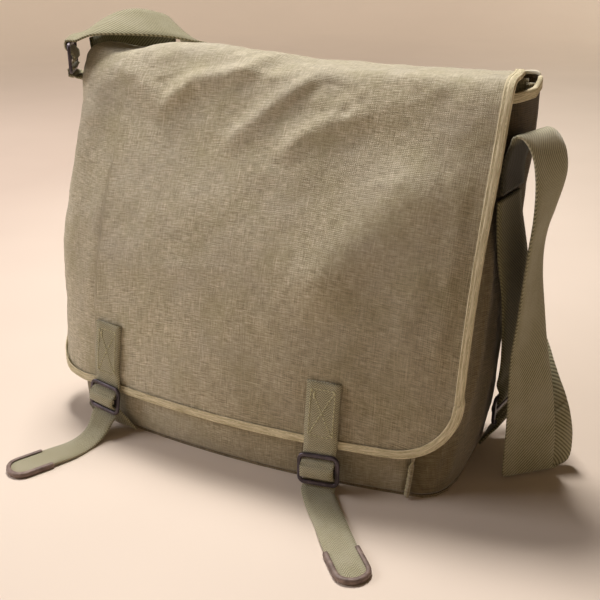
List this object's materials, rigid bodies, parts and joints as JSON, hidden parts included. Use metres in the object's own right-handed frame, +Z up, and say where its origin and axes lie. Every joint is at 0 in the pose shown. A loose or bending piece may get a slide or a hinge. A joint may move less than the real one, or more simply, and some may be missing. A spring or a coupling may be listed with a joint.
{
  "type": "linen haversack",
  "caption": "Linen haversack standing with its flap closed: taped flap held by webs in slides, webbing shoulder strap looped down one side.",
  "frame": {"origin": "middle of the flat base, on the surface that the bag stands on", "axes": "X along the bag's width, -Y out of its front, Z up"},
  "size_m": [0.4612, 0.2696, 0.3284],
  "materials": {
    "cotton_tape": "pale cream-khaki cotton tape",
    "japanned_metal": "dark purplish japanned metal",
    "linen": "greyish khaki plain-woven linen, washed and matt",
    "linen_shade": "the same linen, browner on the sides and base",
    "tip_leather": "worn dark brown leather",
    "webbing": "grey-green cotton webbing with a ribbed face"
  },
  "bodies": {
    "root": {"front_panel": "linen", "back_panel": "linen", "gusset_right": "linen_shade", "gusset_left": "linen_shade", "base_panel": "linen_shade", "mouth_tape_right": "cotton_tape", "mouth_tape_left": "cotton_tape", "flap": "linen", "flap_tape": "cotton_tape", "corner_seam_right": "linen_shade", "corner_seam_left": "linen_shade", "closing_strap_right": "webbing", "buckle_chape_right": "webbing", "closing_slide_right": "japanned_metal", "strap_tip_right": "tip_leather", "closing_strap_left": "webbing", "buckle_chape_left": "webbing", "closing_slide_left": "japanned_metal", "strap_tip_left": "tip_leather", "shoulder_strap": "webbing", "strap_end": "webbing", "anchor_web": "webbing", "shoulder_slide": "japanned_metal", "anchor_slide": "japanned_metal", "slide_tab": "webbing", "anchor_tab": "webbing"}
  },
  "joints": []
}
